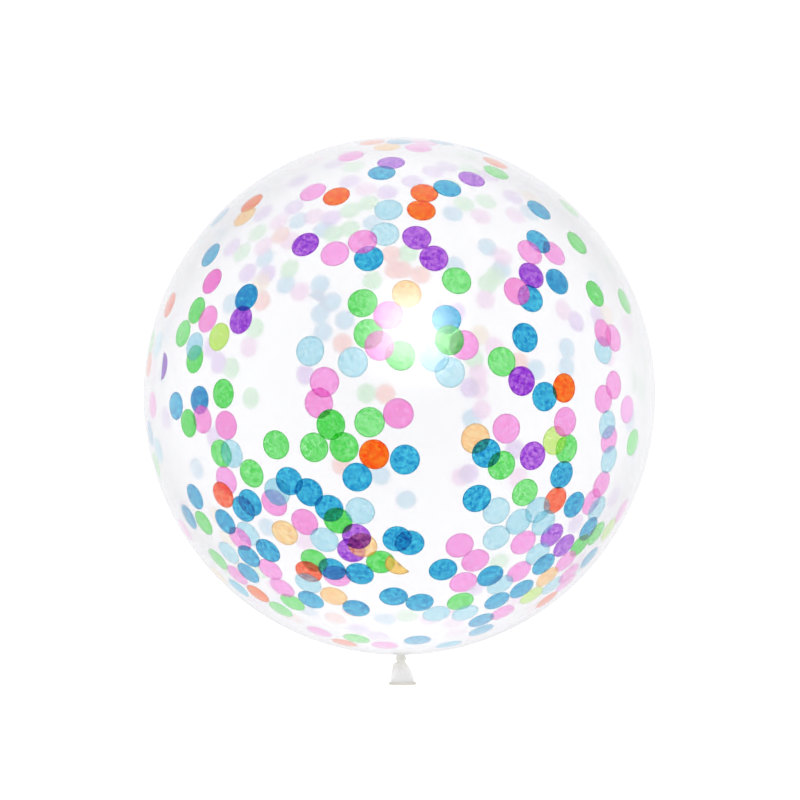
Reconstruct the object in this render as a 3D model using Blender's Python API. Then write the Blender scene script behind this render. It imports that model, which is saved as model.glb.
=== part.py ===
"""A giant clear latex balloon, blown up and tied, lying on its side on a small flat spot.

Units are metres, with +Z up. The balloon's long axis runs along Y: the crown is at +Y, and the neck,
the knot and the open tail with its rolled lip point along -Y. The origin is the middle of the flat
spot. The balloon is one piece of latex, so it is one solid, filled where it is sealed and hollow in
the tail below the knot, which is open at its mouth.
"""

import math
from typing import NamedTuple

import bmesh
import bpy
from mathutils import Vector

# Blown-up body
BODY_DIAMETER = 0.900
BODY_LENGTH = 0.911
FLAT_SPOT_DIAMETER = 0.100

# Neck and knot
NECK_DIAMETER = 0.0130
NECK_FILLET = 0.0090
NECK_LENGTH = 0.0103
KNOT_DIAMETER = 0.0154
KNOT_LENGTH = 0.0134
KNOT_OFFSET = 0.0025
WAIST_DIAMETER = 0.0136

# The strand of latex that runs round the knot on the slant and holds it
WRAP_HEIGHT = 0.0012
WRAP_WIDTH = 0.0070
WRAP_SLANT = 0.0052
WRAP_TURN = math.radians(60)

# Tail below the knot, which is wide along X and flat along Z
SHOULDER_LENGTH = 0.0052
SHOULDER_WIDTH = 0.0241
SHOULDER_DEPTH = 0.0120
SKIRT_LENGTH = 0.0316
MOUTH_WIDTH = 0.0419
MOUTH_GAP = 0.0040
MOUTH_OFFSET = 0.0054
WALL = 0.0008
LIP_DIAMETER = 0.0048
CAVITY_LENGTH = 0.0270
CAVITY_END_WIDTH = 0.0140
CAVITY_END_GAP = 0.0016

# Gathers in the tied latex
GATHER_COUNT = 7
KNOT_GATHER_HEIGHT = 0.0006
SKIRT_GATHER_HEIGHT = 0.0010
GATHER_TWIST = math.radians(75)

# Fineness of the faceted surface
AROUND = 56
BODY_STEPS = 30
FILLET_STEPS = 4
KNOT_STEPS = 12
SHOULDER_STEPS = 3
SKIRT_STEPS = 8
LIP_STEPS = 8
CAVITY_STEPS = 6
FLAT_SPOT_CUTS = 3

# Colour and gloss of the latex
LATEX_COLOUR = (0.93, 0.93, 0.95, 1.0)
LATEX_ROUGHNESS = 0.12
LATEX_ALPHA = 0.30

# Worked out from the sizes above
BODY_RADIUS = BODY_DIAMETER / 2
HALF_LENGTH = BODY_LENGTH / 2
FLAT_SPOT_RADIUS = FLAT_SPOT_DIAMETER / 2
AXIS_HEIGHT = math.sqrt(BODY_RADIUS**2 - FLAT_SPOT_RADIUS**2)
NECK_RADIUS = NECK_DIAMETER / 2
WAIST_RADIUS = WAIST_DIAMETER / 2
LIP_RADIUS = LIP_DIAMETER / 2
KNOT_START = max(NECK_LENGTH, NECK_FILLET)
KNOT_MIDDLE = KNOT_START + KNOT_LENGTH / 2
WAIST_START = KNOT_START + KNOT_LENGTH
SKIRT_START = WAIST_START + SHOULDER_LENGTH
MOUTH_START = SKIRT_START + SKIRT_LENGTH
FACET_WIDTH = math.pi * BODY_DIAMETER / AROUND


class Ring(NamedTuple):
    """One closed loop of latex, an ellipse that faces along the balloon's axis."""

    reach: float  # how far past the body's end it lies, along -Y
    offset: float  # how far its middle stands from the axis, along +X
    half_width: float  # along X
    half_depth: float  # along Z
    gather: float = 0.0  # how high the gathers stand on it
    twist: float = 0.0  # how far the gathers have turned about the axis


def between(start, end, share):
    return start + (end - start) * share


def eased(share):
    """A share from 0 to 1 that starts and ends gently."""
    return (1 - math.cos(math.pi * share)) / 2


def steps(count):
    """The shares 1/count, 2/count and so on up to 1."""
    return [step / count for step in range(1, count + 1)]


def body_rings():
    """The blown-up body from just below its crown to the edge of the neck's fillet."""
    last_angle = math.pi - math.asin((NECK_RADIUS + NECK_FILLET) / BODY_RADIUS)
    for share in steps(BODY_STEPS):
        angle = last_angle * share
        radius = BODY_RADIUS * math.sin(angle)
        yield Ring(-HALF_LENGTH * (1 + math.cos(angle)), 0, radius, radius)


def neck_rings():
    """The hollow curve from the end of the body down onto the neck."""
    for share in steps(FILLET_STEPS):
        angle = share * math.pi / 2
        radius = NECK_RADIUS + NECK_FILLET * (1 - math.sin(angle))
        reach = NECK_FILLET * (1 - math.cos(angle))
        gather = KNOT_GATHER_HEIGHT * share
        yield Ring(reach, KNOT_OFFSET * eased(share), radius, radius, gather)


def knot_rings():
    """The knot, a bulge between the neck and the waist below it, with its gathers wrung round."""
    for share in steps(KNOT_STEPS):
        low = NECK_RADIUS if share < 0.5 else WAIST_RADIUS
        radius = between(low, KNOT_DIAMETER / 2, math.sin(math.pi * share))
        reach = between(KNOT_START, WAIST_START, share)
        twist = GATHER_TWIST * share
        yield Ring(reach, KNOT_OFFSET, radius, radius, KNOT_GATHER_HEIGHT, twist)


def shoulder_rings():
    """The short flare where the latex spreads out of the knot."""
    top = skirt_ring(0)
    for share in steps(SHOULDER_STEPS):
        ease = eased(share)
        yield Ring(
            between(WAIST_START, SKIRT_START, share),
            between(KNOT_OFFSET, top.offset, ease),
            between(WAIST_RADIUS, top.half_width, ease),
            between(WAIST_RADIUS, top.half_depth, ease),
            between(KNOT_GATHER_HEIGHT, top.gather, ease),
            GATHER_TWIST,
        )


def skirt_ring(share):
    """The tail's outer face, from its shoulder at share 0 to its mouth at share 1."""
    flare = math.sin(math.pi / 2 * share)
    return Ring(
        between(SKIRT_START, MOUTH_START, share),
        between(KNOT_OFFSET / 2, MOUTH_OFFSET, flare),
        between(SHOULDER_WIDTH, MOUTH_WIDTH, flare) / 2,
        between(SHOULDER_DEPTH / 2, MOUTH_GAP / 2 + WALL, flare),
        SKIRT_GATHER_HEIGHT * (1 - share),
        GATHER_TWIST,
    )


def skirt_rings():
    for share in steps(SKIRT_STEPS):
        yield skirt_ring(share)


def lip_rings():
    """The mouth's edge, rolled outwards into a bead, from the outer face round to the inner one."""
    mouth = skirt_ring(1)
    middle_width = mouth.half_width - WALL + LIP_RADIUS
    middle_depth = mouth.half_depth - WALL + LIP_RADIUS
    first_angle = -math.acos(WALL / LIP_RADIUS - 1)
    middle_reach = mouth.reach - LIP_RADIUS * math.sin(first_angle)
    for share in steps(LIP_STEPS):
        angle = between(first_angle, math.pi, share)
        out = LIP_RADIUS * math.cos(angle)
        reach = middle_reach + LIP_RADIUS * math.sin(angle)
        yield Ring(reach, mouth.offset, middle_width + out, middle_depth + out)


def cavity_rings():
    """The inside of the tail, from its mouth up to where the gathered latex closes it."""
    mouth = skirt_ring(1)
    for share in steps(CAVITY_STEPS):
        outside = skirt_ring(1 - share * CAVITY_LENGTH / SKIRT_LENGTH)
        narrowing = eased(share)
        yield Ring(
            outside.reach,
            outside.offset,
            between(mouth.half_width - WALL, CAVITY_END_WIDTH / 2, narrowing),
            between(mouth.half_depth - WALL, CAVITY_END_GAP / 2, narrowing),
        )


def wrap_height(reach, angle):
    """How far the strand round the knot stands out there. Its slant puts it lower on one side."""
    middle = KNOT_MIDDLE + WRAP_SLANT / 2 * math.cos(angle - WRAP_TURN)
    return WRAP_HEIGHT * math.exp(-(((reach - middle) / (WRAP_WIDTH / 2)) ** 2))


def ring_points(ring):
    """The points of one ring, moved along the ellipse's own normal by the gathers and the wrap."""
    for index in range(AROUND):
        angle = 2 * math.pi * index / AROUND
        across = math.cos(angle)
        up = math.sin(angle)
        normal = Vector((across / ring.half_width, 0, up / ring.half_depth)).normalized()
        height = ring.gather * math.cos(GATHER_COUNT * angle + ring.twist)
        height += wrap_height(ring.reach, angle)
        flat = Vector((ring.offset + ring.half_width * across, 0, ring.half_depth * up))
        middle = Vector((0, -HALF_LENGTH - ring.reach, AXIS_HEIGHT))
        yield middle + flat + normal * height


def add_loft(mesh, rings):
    """Skins the rings in order. The first end closes on the crown, and the last on its own middle."""
    loops = [[mesh.verts.new(point) for point in ring_points(ring)] for ring in rings]
    for near, far in zip(loops, loops[1:]):
        for index in range(AROUND):
            after = (index + 1) % AROUND
            mesh.faces.new((near[index], far[index], far[after], near[after]))
    crown = mesh.verts.new((0, HALF_LENGTH, AXIS_HEIGHT))
    cavity_middle = sum((vertex.co for vertex in loops[-1]), Vector()) / AROUND
    cavity_end = mesh.verts.new(cavity_middle)
    for index in range(AROUND):
        after = (index + 1) % AROUND
        mesh.faces.new((crown, loops[0][index], loops[0][after]))
        mesh.faces.new((cavity_end, loops[-1][after], loops[-1][index]))


def body_surface(point):
    """The point moved straight away from the body's middle onto the body's true surface."""
    from_middle = point - Vector((0, 0, AXIS_HEIGHT))
    across = (from_middle.x**2 + from_middle.z**2) / BODY_RADIUS**2
    along = from_middle.y**2 / HALF_LENGTH**2
    return Vector((0, 0, AXIS_HEIGHT)) + from_middle / math.sqrt(across + along)


def refine_underside(mesh):
    """Finer facets round the flat spot, so that its edge comes out round."""
    refined_radius = FLAT_SPOT_RADIUS + 1.5 * FACET_WIDTH
    near = {
        vertex
        for vertex in mesh.verts
        if vertex.co.z < AXIS_HEIGHT and vertex.co.xy.length < refined_radius
    }
    edges = [edge for edge in mesh.edges if near.issuperset(edge.verts)]
    made = bmesh.ops.subdivide_edges(mesh, edges=edges, cuts=FLAT_SPOT_CUTS, use_grid_fill=True)
    for item in made["geom_inner"]:
        if isinstance(item, bmesh.types.BMVert):
            item.co = body_surface(item.co)


def cut_flat_spot(mesh):
    """Takes off what lies below the floor, and closes the cut with one flat face."""
    everything = mesh.verts[:] + mesh.edges[:] + mesh.faces[:]
    bmesh.ops.bisect_plane(
        mesh, geom=everything, plane_co=(0, 0, 0), plane_no=(0, 0, 1), clear_inner=True
    )
    rim = [edge for edge in mesh.edges if edge.is_boundary]
    bmesh.ops.holes_fill(mesh, edges=rim, sides=0)


def latex_material():
    material = bpy.data.materials.new("clear_latex")
    material.use_nodes = True
    shader = material.node_tree.nodes["Principled BSDF"]
    shader.inputs["Base Color"].default_value = LATEX_COLOUR
    shader.inputs["Roughness"].default_value = LATEX_ROUGHNESS
    shader.inputs["Metallic"].default_value = 0.0
    shader.inputs["Alpha"].default_value = LATEX_ALPHA
    return material


def add_balloon():
    rings = [
        *body_rings(),
        *neck_rings(),
        *knot_rings(),
        *shoulder_rings(),
        *skirt_rings(),
        *lip_rings(),
        *cavity_rings(),
    ]
    mesh = bmesh.new()
    add_loft(mesh, rings)
    refine_underside(mesh)
    cut_flat_spot(mesh)
    bmesh.ops.triangulate(mesh, faces=mesh.faces[:])
    bmesh.ops.recalc_face_normals(mesh, faces=mesh.faces[:])
    data = bpy.data.meshes.new("latex_balloon")
    mesh.to_mesh(data)
    mesh.free()
    data.materials.append(latex_material())
    data.shade_smooth()
    data.set_sharp_from_angle(angle=math.radians(30))
    balloon = bpy.data.objects.new("latex_balloon", data)
    bpy.context.scene.collection.objects.link(balloon)


for old in list(bpy.data.objects):
    bpy.data.objects.remove(old)
add_balloon()
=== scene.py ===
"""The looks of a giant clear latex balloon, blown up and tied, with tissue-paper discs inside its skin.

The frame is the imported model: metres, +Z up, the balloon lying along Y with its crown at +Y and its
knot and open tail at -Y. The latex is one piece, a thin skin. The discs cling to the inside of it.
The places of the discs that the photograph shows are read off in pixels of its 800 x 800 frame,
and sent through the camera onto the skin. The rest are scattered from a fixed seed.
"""

import math
import random
from typing import NamedTuple

import bpy
from mathutils import Matrix, Vector


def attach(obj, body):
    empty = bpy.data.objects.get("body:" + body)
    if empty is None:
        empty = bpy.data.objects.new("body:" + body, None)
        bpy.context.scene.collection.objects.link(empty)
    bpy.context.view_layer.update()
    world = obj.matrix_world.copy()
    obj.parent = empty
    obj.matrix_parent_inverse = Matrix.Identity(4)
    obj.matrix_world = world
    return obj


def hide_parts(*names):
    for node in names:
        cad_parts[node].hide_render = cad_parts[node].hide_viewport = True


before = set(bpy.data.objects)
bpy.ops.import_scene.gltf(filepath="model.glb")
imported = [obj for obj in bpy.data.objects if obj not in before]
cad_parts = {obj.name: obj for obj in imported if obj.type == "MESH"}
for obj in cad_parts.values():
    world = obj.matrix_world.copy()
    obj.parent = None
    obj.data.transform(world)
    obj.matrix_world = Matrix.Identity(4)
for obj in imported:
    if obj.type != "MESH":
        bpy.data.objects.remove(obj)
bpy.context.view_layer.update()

# Blown-up body, as in the solid
BODY_DIAMETER = 0.900
BODY_LENGTH = 0.911
FLAT_SPOT_DIAMETER = 0.100

# Neck, knot and waist
NECK_DIAMETER = 0.0130
NECK_FILLET = 0.0090
NECK_LENGTH = 0.0103
KNOT_DIAMETER = 0.0154
KNOT_LENGTH = 0.0134
KNOT_OFFSET = 0.0025
WAIST_DIAMETER = 0.0136
WRAP_HEIGHT = 0.0012
WRAP_WIDTH = 0.0070
WRAP_SLANT = 0.0052
WRAP_TURN = math.radians(60)

# Tail below the knot, wide along X and flat along Z
SHOULDER_LENGTH = 0.0052
SHOULDER_WIDTH = 0.0241
SHOULDER_DEPTH = 0.0120
SKIRT_LENGTH = 0.0316
MOUTH_WIDTH = 0.0419
MOUTH_GAP = 0.0040
MOUTH_OFFSET = 0.0054
WALL = 0.0008
LIP_DIAMETER = 0.0048
CAVITY_LENGTH = 0.0270
CAVITY_END_WIDTH = 0.0140
CAVITY_END_GAP = 0.0016

# Gathers and finer creases in the tied latex
GATHER_COUNT = 7
KNOT_GATHER_HEIGHT = 0.0006
SKIRT_GATHER_HEIGHT = 0.0010
GATHER_TWIST = math.radians(75)
CREASE_HEIGHT = 0.00022

# Sets of creases: how many go round, their drift along the tail, their start and their share
CREASES = ((19, 90, 0, 1.0), (31, -140, 1, 0.7), (47, 0, 2, 0.5))

# How many times as thick as the blown-up skin the latex is
BLOWN_UP_THICKNESS = 1.0
KNOT_THICKNESS = 9.0
SKIRT_TOP_THICKNESS = 5.0
SKIRT_THICKNESS = 2.0
LIP_THICKNESS = 16.0
CREAM_THICKNESS = 12.0

# Fineness of the skin
AROUND = 192
BODY_STEPS = 150
FILLET_STEPS = 16
KNOT_STEPS = 40
SHOULDER_STEPS = 12
SKIRT_STEPS = 44
LIP_STEPS = 18
CAVITY_STEPS = 26

# Tissue-paper discs
DISC_DIAMETER = 0.0432
DISC_GAP = 0.00025
LAYER_GAP = 0.00010
DISC_SPOKES = 36
DISC_RINGS = (0.35, 0.65, 0.86, 0.91, 0.95, 1.0)
WOBBLE = 0.012
FINER_WOBBLE_SHARE = 0.5
FOLDED_REACH = 0.96
MOST_TURN = 6
NEARLY_AT_END = 0.9
SEED = 26

# Distances between the middles of discs, in disc radii
OVERLAP_DISTANCE = 2.02
SCATTER_DISTANCE = 1.6

# Camera, straight above the balloon, over a point a little towards the knot
PHOTO_SIZE = 800
CAMERA_DISTANCE = 2.05
CAMERA_X = 0.0009
CAMERA_Y = -0.0072
LENS_MM = 51.2
SENSOR_MM = 36.0
NEAREST_SEEN = 0.05
FARTHEST_SEEN = 60

# Worked out from the sizes above
BODY_RADIUS = BODY_DIAMETER / 2
HALF_LENGTH = BODY_LENGTH / 2
AXIS_HEIGHT = math.sqrt(BODY_RADIUS**2 - (FLAT_SPOT_DIAMETER / 2) ** 2)
NECK_RADIUS = NECK_DIAMETER / 2
WAIST_RADIUS = WAIST_DIAMETER / 2
LIP_RADIUS = LIP_DIAMETER / 2
KNOT_START = max(NECK_LENGTH, NECK_FILLET)
KNOT_MIDDLE = KNOT_START + KNOT_LENGTH / 2
WAIST_START = KNOT_START + KNOT_LENGTH
SKIRT_START = WAIST_START + SHOULDER_LENGTH
MOUTH_START = SKIRT_START + SKIRT_LENGTH
DISC_RADIUS = DISC_DIAMETER / 2
MIDDLE = Vector((0, 0, AXIS_HEIGHT))
CAMERA_PLACE = Vector((CAMERA_X, CAMERA_Y, AXIS_HEIGHT + CAMERA_DISTANCE))
FOCAL_PX = LENS_MM / SENSOR_MM * PHOTO_SIZE

# Colours of the tissue, linear, and the share of the light that each sends back from its front
TISSUE = {
    "blue": ((0.010, 0.455, 0.730), 0.12),
    "light_blue": ((0.520, 0.860, 0.940), 0.42),
    "green": ((0.200, 0.880, 0.210), 0.50),
    "pink": ((0.985, 0.390, 0.900), 0.58),
    "purple": ((0.480, 0.095, 0.770), 0.10),
    "orange": ((1.000, 0.158, 0.001), 0.40),
    "coral": ((1.000, 0.168, 0.060), 0.40),
    "yellow": ((1.000, 0.805, 0.335), 0.58),
    "lime": ((0.740, 0.950, 0.300), 0.50),
}

# Discs on the near side, in pixels of the photograph, in groups from the skin inwards where they overlap
NEAR = (
    ("purple", ((391.2, 162.5), (356.4, 536.7))),
    ("yellow", ((244.5, 216.2),)),
    ("green", ((449.5, 340), (330.6, 424.7), (188.3, 423.3))),
    ("pink", ((362.5, 241.5), (530, 252), (517, 291.1), (202, 419.4))),
    ("blue", (
        (210.3, 254.8), (381.8, 172.5), (447.4, 188), (368.7, 258.2), (539.2, 209.7), (538.6, 241.4),
        (557.4, 281.3), (530.5, 298.3), (446.4, 319.3), (525.3, 337.4), (246.1, 297.3), (544.9, 396.6),
        (219.5, 216.9), (399.5, 141.5), (199.2, 400), (175.7, 405.8), (150, 433.5),
        (404.9, 459.8), (357.1, 477.4), (288.9, 481.3), (308.8, 492.4), (329, 508.4), (194.7, 496.9),
        (249.9, 502.8), (243.3, 509.2), (188.7, 517), (225, 522), (267.6, 550.8), (248.7, 556.5),
        (248.2, 573.3), (238.5, 588.2), (331.9, 569.5), (359.5, 574), (310.7, 600.1), (356, 608.6),
        (393.6, 596.9), (397.1, 539.2), (409.8, 543.2), (486.5, 453.4), (561.9, 475), (477.1, 498.6),
        (574.4, 505), (588.7, 529.2), (543.8, 564.5), (589.5, 557.8), (443.2, 570), (490.4, 576.2),
        (521.8, 589.3), (419.8, 602.8), (497.1, 601.2), (481.3, 620.6), (481.3, 630.5), (417.4, 640.5),
        (448.9, 644.8), (441.5, 142.4), (479.6, 150.7),
    )),
    ("pink", (
        (603.2, 332.8), (613.6, 337.9), (239.9, 538.9), (569, 573.9),
        # Two discs stuck together
        (211.7, 281.1), (211.7, 281.1),
    )),
    ("light_blue", (
        (157.4, 344.6), (388.5, 209.6), (384.8, 233.8), (194.3, 346.2), (310, 350.8), (352.9, 362.2),
        (434.2, 356.6), (450.2, 372.4), (603.5, 350), (231.4, 453.8), (277, 492), (360, 511.2),
        (324.3, 540), (247.8, 534), (228.6, 553), (308.1, 583.5), (158.1, 450.5), (607.6, 424.7),
        (609.2, 459.5), (597.2, 509),
        (496.6, 511.1), (537.9, 510.2), (519, 522), (543.7, 523), (496.4, 538), (537.9, 554),
        (500.2, 585.1), (436.5, 614.1), (465.2, 613.3), (552.8, 585.5),
    )),
    ("orange", (
        (251.5, 203), (372, 142), (336.3, 196.1), (495.4, 162.6), (424.3, 192.8), (421.4, 210),
        (148.7, 364.5), (564.3, 388), (374.1, 454.5), (257.7, 594), (344.3, 643), (547, 600),
    )),
    ("coral", ((169.4, 304.8), (222.9, 495), (308.6, 571.9), (555.4, 500.5))),
    ("yellow", (
        (386.9, 146.6), (406.7, 293.9), (284.6, 533), (362.5, 545.5), (333.6, 596.5), (475.4, 438.6),
        (547.4, 577.2), (218.8, 575.6),
    )),
    ("purple", (
        (305.2, 244.3), (471.7, 178.8), (416.8, 237.4), (434, 258), (240.5, 319.7), (531.5, 275.2),
        (521.8, 381), (532.8, 456), (351.3, 550.6), (552.1, 535.5), (564.2, 545.9),
    )),
    ("pink", (
        (350.8, 155.9), (418.5, 147.7), (424.9, 142.4), (312.7, 191.8), (334.7, 253.5), (554, 253),
        (207.6, 318.9), (388.5, 315.1), (379.5, 345.6), (324.3, 382), (464.3, 345), (614, 385),
        (603.8, 399), (318.7, 403.1), (398.4, 413.6), (627.4, 409.5), (152.3, 404.9), (225.8, 425.3),
        (226, 480.5), (274, 503), (304.6, 522.2), (270, 569.7), (237, 575.4), (336.7, 576.4),
        (282, 587.9), (319.1, 632), (384.8, 645.5), (506.5, 428.6), (565.3, 421.8), (609.4, 439.6),
        (601.7, 484.5), (591.8, 502), (459.7, 545.7), (475.4, 560.8), (523.5, 542.9), (565.9, 561.5),
        (463.3, 582.5), (519, 572.1), (566, 583), (502.2, 612.9), (622, 511), (185, 530),
    )),
    ("lime", ((218.8, 336.7), (554.9, 440.7), (532, 595.5), (609, 529.5))),
    ("green", (
        (196.4, 310.2), (182.7, 333.4), (194.3, 359.1), (151.2, 342.9), (362.5, 302.9), (368.3, 333.8),
        (400.5, 355.4), (456.8, 280.5), (502, 361.6), (496.2, 172.1), (569.6, 207.9), (577.1, 242.6),
        (595.3, 293.4), (624.7, 301.2), (633, 442.5), (223, 393.6), (275.8, 445), (313.9, 447.5),
        (343.9, 447.3), (369.4, 422.3), (221, 453.7), (156.2, 464.8), (251.4, 473.6), (338, 521),
        (203.5, 523), (380.5, 562.3), (313.9, 560.8), (217.8, 559.5), (292.4, 602.6), (280.4, 609.6),
        (356.3, 638.9), (501.7, 465.5), (566.8, 448.8), (525.1, 492.7), (579.8, 545.7), (596.3, 533.7),
        (460.5, 601.8),
    )),
)

# Discs on the far side, in pixels of the photograph, which shows them through the balloon
FAR = (
    ("blue", (
        (264.4, 257.7), (298.2, 220), (323, 228.7), (319.8, 284), (331.4, 301.5), (319.8, 313),
        (322.2, 331.7), (344.6, 319.7), (285, 284), (229.6, 303), (372.8, 222), (487.9, 246.5),
        (453, 212.9), (454.7, 265), (502, 268.3), (567.7, 347.9), (567.3, 367), (536.6, 369.5),
        (472.2, 418.6), (406.2, 500.3), (195.6, 468.8), (267, 528), (380.3, 476), (385.3, 620),
    )),
    ("green", (
        (256.9, 232), (241.2, 251.9), (368.7, 202.1), (349.6, 227.8), (333, 232.8), (350.4, 209.6),
        (353.7, 165.7), (289, 268.3), (372.4, 280.3), (254.4, 328), (230.4, 367.8), (464.7, 203),
        (486.2, 200.5), (487.9, 283.2), (496.2, 275), (474.6, 358.7), (408.3, 252.7), (366, 393.5),
        (250, 398), (407.5, 617), (499.5, 563.2),
    )),
    ("pink", (
        (262.7, 246), (278.3, 221.2), (289, 240), (313, 215.4), (365.4, 188), (299.4, 291.1),
        (247.8, 347), (502.8, 256), (486.2, 299), (478.8, 373.6), (479.5, 389), (482, 410), (495, 347),
        (564, 309.8), (628.7, 326.3), (481.3, 215.4), (516, 214.6), (304, 542), (461.4, 477),
        (518.6, 477.9),
    )),
    ("purple", (
        (262.7, 212), (293.6, 206.3), (330.5, 217.1), (386.9, 191.4), (349.6, 180.6), (247, 272.4),
        (266, 274), (217.5, 362.8), (209.7, 347), (304.8, 374.4), (456.4, 311.4), (433.2, 170.6),
        (447.3, 165.7), (412.4, 180.6), (513.6, 196.3), (515, 449.7), (231.2, 246.9), (577.3, 321.4),
        (470, 387.7), (358.7, 630.3), (474.6, 589.7), (469, 474), (378, 637), (614.6, 497.8),
        (213, 438),
    )),
    ("coral", (
        (280, 234.5), (391, 253.5), (394.4, 269), (401.7, 269), (420.3, 274.5), (436.5, 306.4),
        (342.1, 342.9), (261, 300.6), (520, 362), (385.5, 394), (341, 466), (536, 607),
    )),
    ("yellow", ((260, 282), (480, 334.6))),
)

# Tones of the tissue, where 0 is deep and 1 is pale: the usual ones, and near discs that differ.
# Far discs are painted paler, a painted veil for the light that the near skin scatters in front of them.
# The palest group lies nearly all at the rim and is partly painted paler there, a painted veil for the rim's
# haze.
USUAL_TONE = 0.50
FAR_TONE_WITH_PAINTED_HAZE = 0.72
TONE_SPREAD = 0.05
TONES_AND_PAINTED_RIM_HAZE = (
    (0.06, (
        (246.1, 297.3), (199.2, 400), (595.3, 293.4), (338, 521), (188.3, 423.3), (196.4, 310.2),
        (330.6, 424.7), (194.3, 359.1), (517, 291.1), (398.4, 413.6), (207.6, 318.9), (225.8, 425.3),
        (603.2, 332.8), (579.8, 545.7), (218.8, 336.7), (194.3, 346.2), (277, 492),
    )),
    (0.25, (
        (343.9, 447.3), (380.5, 562.3), (223, 393.6), (305.2, 244.3), (521.8, 381), (318.7, 403.1),
        (304.6, 522.2), (202, 419.4), (240.5, 319.7), (531.5, 275.2), (557.4, 281.3),
    )),
    (0.68, (
        (525.1, 492.7), (456.8, 280.5), (369.4, 422.3), (226, 480.5), (523.5, 542.9), (334.7, 253.5),
        (502, 361.6), (496.4, 538), (496.6, 511.1), (450.2, 372.4), (384.8, 233.8), (352.9, 362.2),
        (284.6, 533), (496.2, 172.1), (217.8, 559.5), (481.3, 630.5),
    )),
    # Nearly all of these lie at the rim: partly their own paleness, partly a painted veil for the rim's haze
    (1.20, (
        (627.4, 409.5), (633, 442.5), (157.4, 344.6), (399.7, 563.6), (218.8, 575.6), (238.5, 588.2),
        (448.9, 644.8),
    )),
)

# Discs folded in two: colour, place in pixels, whether on the far side, and the fold's direction
FOLDED = (
    ("yellow", (399.7, 563.6), False, math.radians(132)),
    ("purple", (162, 366.3), False, math.radians(270)),
    ("blue", (315.6, 299.8), True, math.radians(30)),
    ("green", (634, 381.5), True, math.radians(90)),
)

# Discs in the band round the balloon's side, which the photograph hides behind its rim
BAND_DISCS = 70
BAND_FROM = math.radians(80)
BAND_TO = math.radians(112)
BAND_END = 0.97
BAND_COLOURS = ("blue", "blue", "green", "pink", "pink", "light_blue", "purple", "orange", "yellow")

# Colour of the light that nothing tints
WHITE = (1, 1, 1, 1)

# Light that goes straight through the latex, less with its thickness and its slant, and barely blurred
STRAIGHT_LOSS = 1.15
SLANT_LOSS = 0.35
LEAST_COSINE = 0.12
BLUR_IOR = 1.0043
BLUR_ROUGHNESS = 1.0

# Mirroring by one face of the film, from square on to the rim, and its gloss
FILM_MIRROR = 0.04
MIRROR_POWER = 5.0
GLOSS_TINT = (0.92, 0.92, 0.94, 1)
GLOSS_ROUGHNESS = 0.27

# Colours of the light that the latex scatters: clear, slanting, sent back, and gathered
CLEAR_TINT = (0.990, 0.990, 0.994, 1)
SLANTING_TINT = (0.60, 0.60, 0.62, 1)
MILKY_TINT = (0.93, 0.93, 0.94, 1)
CREAM_TINT = (0.74, 0.73, 0.67, 1)

# Greying with the slant, which is 1 where the skin is square on
GREY_FROM_SLANT = 1.2
GREY_RATE = 0.14
MOST_GREY = 0.50
NECK_END_LESS_GREY = 0.22

# Share of the scattered light that goes back
CLEAR_HAZE = 0.004
HAZE_FROM_SLANT = 1.15
HAZE_RATE = 0.07
MOST_HAZE = 0.22
NECK_END_LESS_HAZE = 0.045
GATHERED_HAZE = 0.45

# Place along Y where the neck end of the body begins, and how fast it comes on
NECK_END_FROM = -0.14
NECK_END_RATE = -7.0

# Mottle of the tissue paper, from a cloudy and a fibrous noise
CLOUD_SCALE = 170.0
CLOUD_DISTORTION = 0.6
FIBRE_SCALE = 290.0
FIBRE_DISTORTION = 1.5
NOISE_DETAIL = 1.0
NOISE_ROUGHNESS = 0.6
MOTTLE_CONTRAST = 4.2

# Powers of a tissue's colour that give its front, its deep tone and its pale tone
FRONT_POWER = 3.2
DEEP_POWER = 2.0
PALE_POWER = 0.55
MOST_THROUGH = 0.98

# Darker cut edge of a disc
EDGE_FROM = 0.91
EDGE_RATE = 25.0
EDGE_SHARE = 0.75
EDGE_POWER = 1.25
EDGE_SHADE = 0.68

# Studio: a luminous white sweep under a white sky, and a soft box for the highlight
FLOOR_SIZE = 28.0
FLOOR_GLOW = 0.91
FLOOR_SHADE = 0.20
WORLD_GLOW = 1.60
SOFT_BOX_SIZE = 1.53
SOFT_BOX_RADIANCE = 9.0
SOFT_BOX_PLACE = Vector((0.310, 1.400, 3.56))
SOFT_BOX_AIM = Vector((0.0225, 0.0914, 0.887))

# What the skin mirrors: nothing overhead, and light all round below, more of it on the tail side
MIRRORED_FROM = -0.15
MIRRORED_RATE = 2.2
MIRRORED_LEVEL = 0.95
MIRRORED_CORNERS = 0.42
MIRRORED_TAIL_SIDE = 0.45
TAIL_SIDE_FROM = -0.45
TAIL_SIDE_RATE = -3.0

# Stands in for 1 so that nothing is divided by 0 straight up and down
JUST_OVER_ONE = 1.0001

# What it mirrors from straight below
MIRRORED_BELOW = 1.10
MIRRORED_BELOW_TAIL = 0.08
BELOW_FROM = 0.60
BELOW_RATE = 4.0


def between(start, end, share):
    return start + (end - start) * share


def eased(share):
    """A share from 0 to 1 that starts and ends gently."""
    return (1 - math.cos(math.pi * share)) / 2


def steps(count):
    return [step / count for step in range(1, count + 1)]


# The camera and the way from a pixel of the photograph to the skin


def add_camera():
    data = bpy.data.cameras.new("camera")
    data.lens = LENS_MM
    data.sensor_width = SENSOR_MM
    data.clip_start = NEAREST_SEEN
    data.clip_end = FARTHEST_SEEN
    camera = bpy.data.objects.new("camera", data)
    camera.location = CAMERA_PLACE
    bpy.context.scene.collection.objects.link(camera)
    bpy.context.scene.camera = camera


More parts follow.
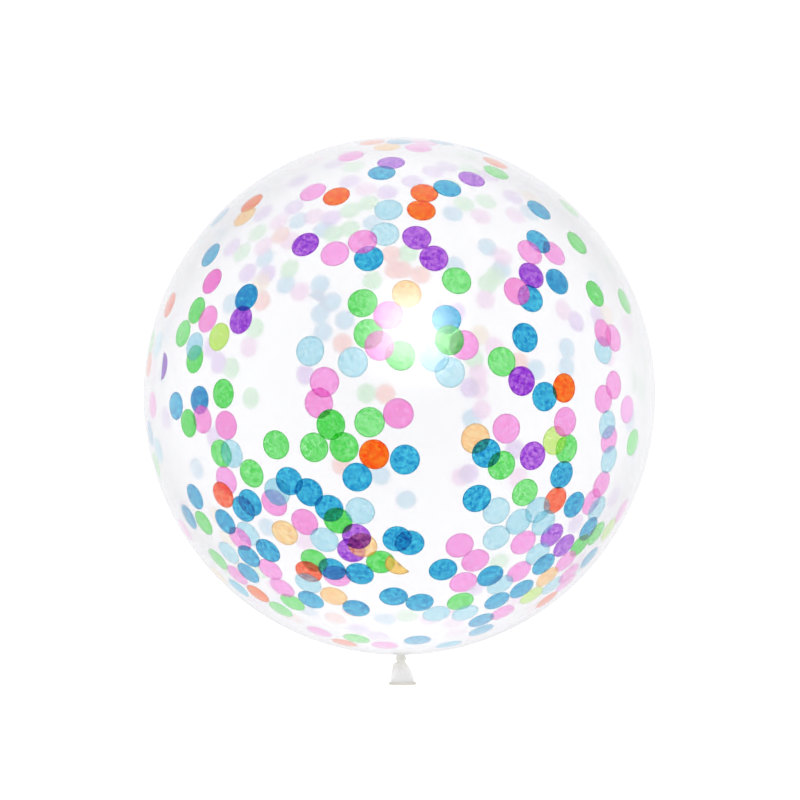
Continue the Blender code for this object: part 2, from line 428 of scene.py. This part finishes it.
def direction_on_skin(pixel, far):
    """The direction from the balloon's middle to where the pixel's line of sight meets the skin.

    It is a unit vector in a space where the body is a ball of radius 1.
    """
    half = PHOTO_SIZE / 2
    sight = Vector(((pixel[0] - half) / FOCAL_PX, (half - pixel[1]) / FOCAL_PX, -1))
    scale = Vector((1 / BODY_RADIUS, 1 / HALF_LENGTH, 1 / BODY_RADIUS))
    start = (CAMERA_PLACE - MIDDLE) * scale
    along = sight * scale
    nearest = -start.dot(along) / along.dot(along)
    closest = start + along * nearest
    inside = max(1 - closest.length_squared, 0) / along.dot(along)
    reach = math.sqrt(inside) * (1 if far else -1)
    return (start + along * (nearest + reach)).normalized()


def on_skin(direction, depth):
    """The point that lies so deep under the skin in that direction. The floor presses the skin flat."""
    point = MIDDLE + Vector((
        direction.x * (BODY_RADIUS - depth),
        direction.y * (HALF_LENGTH - depth),
        direction.z * (BODY_RADIUS - depth),
    ))
    point.z = max(point.z, depth)
    return point


# The latex skin, ring by ring from the crown over the knot into the open tail


class Ring(NamedTuple):
    """One ring of the skin: its reach is past the body's end, and its offset is along X."""

    reach: float
    offset: float
    half_width: float
    half_depth: float
    gather: float
    twist: float
    thickness: float


def body_rings():
    last_angle = math.pi - math.asin((NECK_RADIUS + NECK_FILLET) / BODY_RADIUS)
    for share in steps(BODY_STEPS):
        angle = last_angle * share
        radius = BODY_RADIUS * math.sin(angle)
        reach = -HALF_LENGTH * (1 + math.cos(angle))
        yield Ring(reach, 0, radius, radius, 0, 0, BLOWN_UP_THICKNESS)


def neck_rings():
    for share in steps(FILLET_STEPS):
        angle = share * math.pi / 2
        radius = NECK_RADIUS + NECK_FILLET * (1 - math.sin(angle))
        reach = NECK_FILLET * (1 - math.cos(angle))
        thickness = between(BLOWN_UP_THICKNESS, KNOT_THICKNESS, share**2)
        gather = KNOT_GATHER_HEIGHT * share
        yield Ring(reach, KNOT_OFFSET * eased(share), radius, radius, gather, 0, thickness)


def knot_rings():
    for share in steps(KNOT_STEPS):
        low = NECK_RADIUS if share < 0.5 else WAIST_RADIUS
        radius = between(low, KNOT_DIAMETER / 2, math.sin(math.pi * share))
        reach = between(KNOT_START, WAIST_START, share)
        twist = GATHER_TWIST * share
        yield Ring(reach, KNOT_OFFSET, radius, radius, KNOT_GATHER_HEIGHT, twist, KNOT_THICKNESS)


def shoulder_rings():
    top = skirt_ring(0)
    for share in steps(SHOULDER_STEPS):
        ease = eased(share)
        yield Ring(
            between(WAIST_START, SKIRT_START, share),
            between(KNOT_OFFSET, top.offset, ease),
            between(WAIST_RADIUS, top.half_width, ease),
            between(WAIST_RADIUS, top.half_depth, ease),
            between(KNOT_GATHER_HEIGHT, top.gather, ease),
            GATHER_TWIST,
            between(KNOT_THICKNESS, top.thickness, share),
        )


def skirt_ring(share):
    flare = math.sin(math.pi / 2 * share)
    return Ring(
        between(SKIRT_START, MOUTH_START, share),
        between(KNOT_OFFSET / 2, MOUTH_OFFSET, flare),
        between(SHOULDER_WIDTH, MOUTH_WIDTH, flare) / 2,
        between(SHOULDER_DEPTH / 2, MOUTH_GAP / 2 + WALL, flare),
        SKIRT_GATHER_HEIGHT * (1 - share),
        GATHER_TWIST,
        between(SKIRT_TOP_THICKNESS, SKIRT_THICKNESS, eased(min(share * 2, 1))),
    )


def skirt_rings():
    for share in steps(SKIRT_STEPS):
        yield skirt_ring(share)


def lip_rings():
    mouth = skirt_ring(1)
    middle_width = mouth.half_width - WALL + LIP_RADIUS
    middle_depth = mouth.half_depth - WALL + LIP_RADIUS
    first_angle = -math.acos(WALL / LIP_RADIUS - 1)
    middle_reach = mouth.reach - LIP_RADIUS * math.sin(first_angle)
    for share in steps(LIP_STEPS):
        angle = between(first_angle, math.pi, share)
        out = LIP_RADIUS * math.cos(angle)
        reach = middle_reach + LIP_RADIUS * math.sin(angle)
        yield Ring(reach, mouth.offset, middle_width + out, middle_depth + out, 0, 0, LIP_THICKNESS)


def cavity_rings():
    mouth = skirt_ring(1)
    for share in steps(CAVITY_STEPS):
        outside = skirt_ring(1 - share * CAVITY_LENGTH / SKIRT_LENGTH)
        half_width = between(mouth.half_width - WALL, CAVITY_END_WIDTH / 2, eased(share))
        half_depth = between(mouth.half_depth - WALL, CAVITY_END_GAP / 2, eased(share))
        yield Ring(outside.reach, outside.offset, half_width, half_depth, 0, 0, SKIRT_THICKNESS)


def wrap_height(reach, angle):
    """How far the latex that is wrapped round the knot stands up."""
    middle = KNOT_MIDDLE + WRAP_SLANT / 2 * math.cos(angle - WRAP_TURN)
    return WRAP_HEIGHT * math.exp(-(((reach - middle) / (WRAP_WIDTH / 2)) ** 2))


def crease(reach, angle, twist):
    """Fine creases that run along the gathered latex."""
    turn = angle + twist / GATHER_COUNT
    return sum(
        share * math.sin(count * turn + drift * reach + start) for count, drift, start, share in CREASES
    )


def ring_points(ring):
    for index in range(AROUND):
        angle = 2 * math.pi * index / AROUND
        across, up = math.cos(angle), math.sin(angle)
        normal = Vector((across / ring.half_width, 0, up / ring.half_depth)).normalized()
        height = ring.gather * math.cos(GATHER_COUNT * angle + ring.twist) + wrap_height(ring.reach, angle)
        if ring.gather:
            share = min(ring.gather / KNOT_GATHER_HEIGHT, 1)
            height += CREASE_HEIGHT * share * crease(ring.reach, angle, ring.twist)
        x = ring.offset + ring.half_width * across
        point = Vector((x, -HALF_LENGTH - ring.reach, ring.half_depth * up))
        point += MIDDLE + normal * height
        point.z = max(point.z, 0)
        yield point


def skin_faces(ring_count):
    """Faces between the rings, and round the single points at the crown and in the cavity."""
    end = 1 + ring_count * AROUND
    faces = []
    for index in range(AROUND):
        after = (index + 1) % AROUND
        faces.append((0, 1 + index, 1 + after))
        for ring in range(ring_count - 1):
            near = 1 + ring * AROUND
            far = near + AROUND
            faces.append((near + index, far + index, far + after, near + after))
        last = end - AROUND
        faces.append((end, last + after, last + index))
    return faces


def new_mesh(name, points, faces, attributes=(), smooth=True):
    data = bpy.data.meshes.new(name)
    data.from_pydata(points, [], faces)
    for label, values in attributes:
        data.attributes.new(label, "FLOAT", "POINT").data.foreach_set("value", values)
    if smooth:
        data.shade_smooth()
    data.validate()
    piece = bpy.data.objects.new(name, data)
    bpy.context.scene.collection.objects.link(piece)
    return piece


def add_skin(material):
    rings = [
        *body_rings(), *neck_rings(), *knot_rings(), *shoulder_rings(),
        *skirt_rings(), *lip_rings(), *cavity_rings(),
    ]
    points = [Vector((0, HALF_LENGTH, AXIS_HEIGHT))]
    thick = [BLOWN_UP_THICKNESS]
    for ring in rings:
        points.extend(ring_points(ring))
        thick.extend([ring.thickness] * AROUND)
    points.append(sum(points[-AROUND:], Vector()) / AROUND)
    thick.append(rings[-1].thickness)
    skin = new_mesh("latex_skin", points, skin_faces(len(rings)), [("thick", thick)])
    skin.data.materials.append(material)
    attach(skin, "root")
    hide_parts("latex_balloon")


# The tissue-paper discs


class Disc(NamedTuple):
    """One disc: its colour, its direction, its fold's turn or None, and its paleness, painted paler for far
    discs and the palest ones at the rim.
    """

    colour: str
    direction: Vector
    fold: float | None
    tone: float


# Paleness of a disc: listed for some near discs, painted paler for far ones, else the usual with a random
# spread
def tone_and_painted_haze_of(pixel, far, chance):
    for tone, places in TONES_AND_PAINTED_RIM_HAZE:
        if pixel in places:
            return tone
    # Far discs are painted paler: a painted veil for the light that the near skin scatters in front of them
    side_tone_with_far_painted_haze = FAR_TONE_WITH_PAINTED_HAZE if far else USUAL_TONE
    return side_tone_with_far_painted_haze + chance.uniform(-TONE_SPREAD, TONE_SPREAD)


def shown_discs(chance):
    """The discs that the photograph shows."""
    for colour, pixel, far, fold in FOLDED:
        yield Disc(colour, direction_on_skin(pixel, far), fold, tone_and_painted_haze_of(pixel, far, chance))
    for groups, far in ((NEAR, False), (FAR, True)):
        for colour, pixels in groups:
            for pixel in pixels:
                yield Disc(colour, direction_on_skin(pixel, far), None, tone_and_painted_haze_of(pixel, far, chance))


def with_band_discs(discs, chance):
    """The discs, and those of the band, each clear of the ones before it and of the balloon's ends."""
    apart = math.cos(SCATTER_DISTANCE * DISC_RADIUS / BODY_RADIUS)
    wanted = len(discs) + BAND_DISCS
    while len(discs) < wanted:
        polar = math.acos(chance.uniform(math.cos(BAND_TO), math.cos(BAND_FROM)))
        turn = chance.uniform(0, 2 * math.pi)
        direction = Vector((
            math.sin(polar) * math.cos(turn), math.sin(polar) * math.sin(turn), math.cos(polar)
        ))
        colour = chance.choice(BAND_COLOURS)
        near_end = abs(direction.y) > BAND_END
        if near_end or any(direction.dot(other.direction) > apart for other in discs):
            continue
        discs.append(Disc(colour, direction, None, tone_and_painted_haze_of(None, False, chance)))
    return discs


def layers_of(discs):
    """The layer of each disc from the skin inwards: one deeper than the earlier discs that it overlaps."""
    close = math.cos(OVERLAP_DISTANCE * DISC_RADIUS / BODY_RADIUS)
    layers = []
    for index, disc in enumerate(discs):
        earlier = range(index)
        over = [layers[other] for other in earlier if discs[other].direction.dot(disc.direction) > close]
        layers.append(max(over) + 1 if over else 0)
    return layers


def tangents(direction, turn):
    """Two unit vectors along the skin, square to each other."""
    start = Vector((0, 1, 0)) if abs(direction.y) < NEARLY_AT_END else Vector((1, 0, 0))
    first = direction.cross(start).normalized()
    first = Matrix.Rotation(turn, 3, direction) @ first
    return first, direction.cross(first)


def disc_points(direction, depth, turn, chance, folded):
    """Points of one disc that lies along the skin, its middle first."""
    first, second = tangents(direction, turn)
    phase, finer_phase = chance.uniform(0, MOST_TURN), chance.uniform(0, MOST_TURN)
    points = [on_skin(direction, depth)]
    for ring in DISC_RINGS:
        for spoke in range(DISC_SPOKES):
            angle = 2 * math.pi * spoke / DISC_SPOKES
            finer = FINER_WOBBLE_SHARE * math.sin(3 * angle + finer_phase)
            wobble = 1 + WOBBLE * (math.sin(2 * angle + phase) + finer)
            across = math.cos(angle) * ring * wobble
            along = math.sin(angle) * ring * wobble
            deeper = 0.0
            if folded and along > 0:
                along = -along * FOLDED_REACH
                deeper = LAYER_GAP * 2
            arc = math.hypot(across, along) * DISC_RADIUS / BODY_RADIUS
            heading = (first * across + second * along).normalized() if arc else first
            towards = direction * math.cos(arc) + heading * math.sin(arc)
            points.append(on_skin(towards, depth + deeper))
    return points


def disc_faces(start):
    """Faces of one disc whose points begin at that number."""
    faces = []
    for spoke in range(DISC_SPOKES):
        after = (spoke + 1) % DISC_SPOKES
        faces.append((start, start + 1 + spoke, start + 1 + after))
        for ring in range(len(DISC_RINGS) - 1):
            inner = start + 1 + ring * DISC_SPOKES
            outer = inner + DISC_SPOKES
            faces.append((inner + spoke, outer + spoke, outer + after, inner + after))
    return faces


def disc_rims():
    """How far each point of a disc is from its middle, as a share of its radius."""
    return [0.0, *(ring for ring in DISC_RINGS for _ in range(DISC_SPOKES))]


def add_discs(materials):
    chance = random.Random(SEED)
    discs = with_band_discs(list(shown_discs(chance)), chance)
    sheets = {colour: ([], [], [], []) for colour in TISSUE}
    rims_of_one = disc_rims()
    for disc, layer in zip(discs, layers_of(discs)):
        depth = DISC_GAP + LAYER_GAP * layer
        folded = disc.fold is not None
        turn = disc.fold if folded else chance.uniform(0, MOST_TURN)
        points, faces, rims, tones_and_painted_haze = sheets[disc.colour]
        faces.extend(disc_faces(len(points)))
        points.extend(disc_points(disc.direction, depth, turn, chance, folded))
        rims.extend(rims_of_one)
        # Paleness of each disc, painted paler for far discs and the palest ones at the rim
        tones_and_painted_haze.extend([disc.tone] * len(rims_of_one))
    for colour, (points, faces, rims, tones_and_painted_haze) in sheets.items():
        piece = new_mesh(f"confetti_{colour}", points, faces, [("rim", rims), ("tone", tones_and_painted_haze)])
        piece.data.materials.append(materials[colour])
        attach(piece, "root")


# Materials


class Nodes:
    """Short ways to add shader nodes to one material or world."""

    def __init__(self, owner):
        owner.use_nodes = True
        self.owner = owner
        self.tree = owner.node_tree
        self.tree.nodes.clear()

    def add(self, kind, output=0, **inputs):
        node = self.tree.nodes.new(kind)
        for label, value in inputs.items():
            self.put(node.inputs[label.replace("_", " ")], value)
        return None if output is None else node.outputs[output]

    def put(self, socket, value):
        if isinstance(value, bpy.types.NodeSocket):
            self.tree.links.new(value, socket)
        else:
            socket.default_value = value

    def maths(self, operation, first, second=0.0, clamp=False):
        node = self.tree.nodes.new("ShaderNodeMath")
        node.operation = operation
        node.use_clamp = clamp
        self.put(node.inputs[0], first)
        self.put(node.inputs[1], second)
        return node.outputs[0]

    def rise(self, value, start, rate, clamp=True):
        """A line that is 0 at the start and goes up by the rate, kept between 0 and 1 by the clamp."""
        return self.maths("MULTIPLY", self.maths("SUBTRACT", value, start), rate, clamp)

    def less(self, most, share, loss):
        """The most, less the loss times the share."""
        return self.maths("ADD", self.maths("MULTIPLY", share, -loss), most)

    def mix(self, share, first, second):
        node = self.tree.nodes.new("ShaderNodeMixShader")
        self.put(node.inputs[0], share)
        self.put(node.inputs[1], first)
        self.put(node.inputs[2], second)
        return node.outputs[0]

    def blend(self, share, first, second):
        node = self.tree.nodes.new("ShaderNodeMix")
        node.data_type = "RGBA"
        self.put(node.inputs["Factor"], share)
        self.put(node.inputs[6], first)
        self.put(node.inputs[7], second)
        return node.outputs[2]

    def attribute(self, name):
        node = self.tree.nodes.new("ShaderNodeAttribute")
        node.attribute_name = name
        return node.outputs["Fac"]

    def axes(self, kind):
        """The X, Y and Z of a kind of texture coordinate."""
        node = self.tree.nodes.new("ShaderNodeSeparateXYZ")
        self.put(node.inputs[0], self.add("ShaderNodeTexCoord", kind))
        return node.outputs

    def finish(self, shader, kind="ShaderNodeOutputMaterial"):
        self.add(kind, None, Surface=shader)
        return self.owner


def mirrored_share(nodes, facing):
    """What the two faces of the film mirror together."""
    one_side = nodes.maths("MULTIPLY", nodes.maths("POWER", facing, MIRROR_POWER), 1 - FILM_MIRROR)
    one_side = nodes.maths("ADD", one_side, FILM_MIRROR)
    return nodes.maths("DIVIDE", nodes.maths("MULTIPLY", one_side, 2.0), nodes.maths("ADD", one_side, 1.0))


def grey_share(nodes, slant, to_neck):
    """How grey the light is that a slanting skin lets through."""
    rising = nodes.rise(slant, GREY_FROM_SLANT, GREY_RATE, clamp=False)
    most = nodes.less(MOST_GREY, to_neck, NECK_END_LESS_GREY)
    return nodes.maths("MAXIMUM", nodes.maths("MINIMUM", rising, most), 0.0)


def back_share(nodes, slant, to_neck, gathered):
    """How much of the scattered light goes back instead of through."""
    rate = nodes.less(HAZE_RATE, to_neck, NECK_END_LESS_HAZE)
    grazing = nodes.maths("MINIMUM", nodes.rise(slant, HAZE_FROM_SLANT, rate), MOST_HAZE)
    square_on = nodes.maths("ADD", nodes.maths("MULTIPLY", gathered, GATHERED_HAZE), CLEAR_HAZE)
    return nodes.maths("ADD", square_on, grazing)


def latex_material():
    """A clear film that blurs and greys a little where it slants, and is cream where it is gathered."""
    nodes = Nodes(bpy.data.materials.new("clear_latex"))
    thick = nodes.attribute("thick")
    facing = nodes.add("ShaderNodeLayerWeight", "Facing", Blend=0.5)
    cosine = nodes.maths("MAXIMUM", nodes.maths("SUBTRACT", 1.0, facing), LEAST_COSINE)
    slant = nodes.maths("DIVIDE", 1.0, cosine)
    to_neck = nodes.rise(nodes.axes("Object")["Y"], NECK_END_FROM, NECK_END_RATE)
    thicker = nodes.maths("SUBTRACT", thick, BLOWN_UP_THICKNESS)
    gathered = nodes.maths("DIVIDE", thicker, CREAM_THICKNESS - BLOWN_UP_THICKNESS, clamp=True)

    blown_up = nodes.blend(grey_share(nodes, slant, to_neck), CLEAR_TINT, SLANTING_TINT)
    through = nodes.add("ShaderNodeBsdfTranslucent", Color=nodes.blend(gathered, blown_up, CREAM_TINT))
    milky = nodes.add("ShaderNodeBsdfDiffuse", Color=nodes.blend(gathered, MILKY_TINT, CREAM_TINT))
    scattered = nodes.mix(back_share(nodes, slant, to_neck, gathered), through, milky)

    clear = nodes.add("ShaderNodeBsdfRefraction", Color=WHITE, Roughness=BLUR_ROUGHNESS, IOR=BLUR_IOR)
    path = nodes.maths("MULTIPLY", thick, nodes.maths("POWER", cosine, -SLANT_LOSS))
    straight = nodes.maths("EXPONENT", nodes.maths("MULTIPLY", path, -STRAIGHT_LOSS))
    film = nodes.mix(straight, scattered, clear)

    gloss = nodes.add("ShaderNodeBsdfAnisotropic", Color=GLOSS_TINT, Roughness=GLOSS_ROUGHNESS)
    gloss.node.distribution = "BECKMANN"
    return nodes.finish(nodes.mix(mirrored_share(nodes, facing), film, gloss))


def mottle(nodes):
    """Cloudy fibres in the paper, on both sides of 0."""
    place = nodes.add("ShaderNodeTexCoord", "Object")
    noises = []
    for scale, distortion in ((CLOUD_SCALE, CLOUD_DISTORTION), (FIBRE_SCALE, FIBRE_DISTORTION)):
        noise = nodes.add(
            "ShaderNodeTexNoise", Vector=place, Scale=scale, Detail=NOISE_DETAIL,
            Roughness=NOISE_ROUGHNESS, Distortion=distortion,
        )
        noises.append(nodes.maths("MULTIPLY", noise, 0.5))
    return nodes.rise(nodes.maths("ADD", *noises), 0.5, MOTTLE_CONTRAST, clamp=False)


def tissue_material(name, colour, front_share):
    """Thin dyed paper with cloudy fibres. What it sends back is deeper in colour than what comes through."""
    nodes = Nodes(bpy.data.materials.new(f"tissue_{name}"))
    # The paleness attribute is painted paler for far discs and the palest ones at the rim, a painted veil
    # for the skin's haze
    paleness = nodes.maths("ADD", nodes.attribute("tone"), mottle(nodes), clamp=True)
    rim = nodes.rise(nodes.attribute("rim"), EDGE_FROM, EDGE_RATE)
    edge_share = nodes.maths("MULTIPLY", rim, EDGE_SHARE)
    front = [value**FRONT_POWER for value in colour]
    through = [
        min((whole - front_share * sent_back) / (1 - front_share), MOST_THROUGH)
        for whole, sent_back in zip(colour, front)
    ]
    sides = []
    for kind, side in (("ShaderNodeBsdfTranslucent", through), ("ShaderNodeBsdfDiffuse", front)):
        deep = (*(value**DEEP_POWER for value in side), 1)
        pale = (*(value**PALE_POWER for value in side), 1)
        edge = (*(value**EDGE_POWER * EDGE_SHADE for value in side), 1)
        sides.append(nodes.add(kind, Color=nodes.blend(edge_share, nodes.blend(paleness, deep, pale), edge)))
    return nodes.finish(nodes.mix(front_share, *sides))


# The studio


def add_floor():
    size = FLOOR_SIZE / 2
    corners = [(-size, -size, 0), (size, -size, 0), (size, size, 0), (-size, size, 0)]
    floor = new_mesh("floor", [Vector(corner) for corner in corners], [(0, 1, 2, 3)], smooth=False)
    nodes = Nodes(bpy.data.materials.new("white_sweep"))
    light = nodes.add("ShaderNodeEmission", Color=WHITE, Strength=FLOOR_GLOW)
    matt = nodes.add("ShaderNodeBsdfDiffuse", Color=(FLOOR_SHADE, FLOOR_SHADE, FLOOR_SHADE, 1))
    both = nodes.tree.nodes.new("ShaderNodeAddShader")
    nodes.put(both.inputs[0], light)
    nodes.put(both.inputs[1], matt)
    floor.data.materials.append(nodes.finish(both.outputs[0]))
    floor.visible_glossy = False


def mirrored_room(nodes):
    """The brightness of the room that the skin mirrors, by heading."""
    heading = nodes.axes("Generated")
    down = nodes.maths("MULTIPLY", heading["Z"], -1.0)
    level_part = nodes.maths("SUBTRACT", JUST_OVER_ONE, nodes.maths("MULTIPLY", down, down))
    level_part = nodes.maths("SQRT", level_part)
    to_crown = nodes.maths("DIVIDE", heading["Y"], level_part)
    tail_share = nodes.rise(to_crown, TAIL_SIDE_FROM, TAIL_SIDE_RATE)

    square = nodes.maths("MULTIPLY", to_crown, to_crown)
    # This is a quarter, its most, halfway between the long axis and the side
    corners = nodes.maths("MULTIPLY", square, nodes.maths("SUBTRACT", 1.0, square))
    corners = nodes.maths("MULTIPLY", corners, -4 * MIRRORED_CORNERS)
    tail_side = nodes.maths("MULTIPLY", tail_share, MIRRORED_TAIL_SIDE)
    around = nodes.maths("ADD", MIRRORED_LEVEL, nodes.maths("ADD", corners, tail_side))
    below = nodes.less(MIRRORED_BELOW, tail_share, MIRRORED_BELOW_TAIL)
    below_share = nodes.rise(down, BELOW_FROM, BELOW_RATE)
    level = nodes.add("ShaderNodeMix", Factor=below_share, A=around, B=below)
    return nodes.maths("MULTIPLY", level, nodes.rise(down, MIRRORED_FROM, MIRRORED_RATE))


def add_world():
    world = bpy.data.worlds.new("studio")
    bpy.context.scene.world = world
    nodes = Nodes(world)
    in_mirror = nodes.add("ShaderNodeLightPath", "Is Glossy Ray")
    seen = nodes.maths("MULTIPLY", nodes.maths("SUBTRACT", 1.0, in_mirror), WORLD_GLOW)
    glow = nodes.maths("ADD", seen, nodes.maths("MULTIPLY", mirrored_room(nodes), in_mirror))
    background = nodes.add("ShaderNodeBackground", Color=WHITE, Strength=glow)
    nodes.finish(background, "ShaderNodeOutputWorld")


def add_soft_box():
    data = bpy.data.lights.new("soft_box", "AREA")
    data.shape = "SQUARE"
    data.size = SOFT_BOX_SIZE
    data.energy = SOFT_BOX_RADIANCE * math.pi * SOFT_BOX_SIZE**2
    light = bpy.data.objects.new("soft_box", data)
    light.location = SOFT_BOX_PLACE
    light.rotation_euler = (SOFT_BOX_AIM - SOFT_BOX_PLACE).to_track_quat("-Z", "Y").to_euler()
    light.visible_camera = False
    light.visible_diffuse = False
    light.visible_transmission = False
    bpy.context.scene.collection.objects.link(light)


def set_picture():
    """Plain colours, and bounces enough to see through the skin and the discs behind each other."""
    scene = bpy.context.scene
    scene.view_settings.view_transform = "Standard"
    scene.cycles.max_bounces = 24
    scene.cycles.transmission_bounces = 20
    scene.cycles.transparent_max_bounces = 32


add_camera()
add_skin(latex_material())
add_discs({name: tissue_material(name, *values) for name, values in TISSUE.items()})
add_floor()
add_world()
add_soft_box()
set_picture()
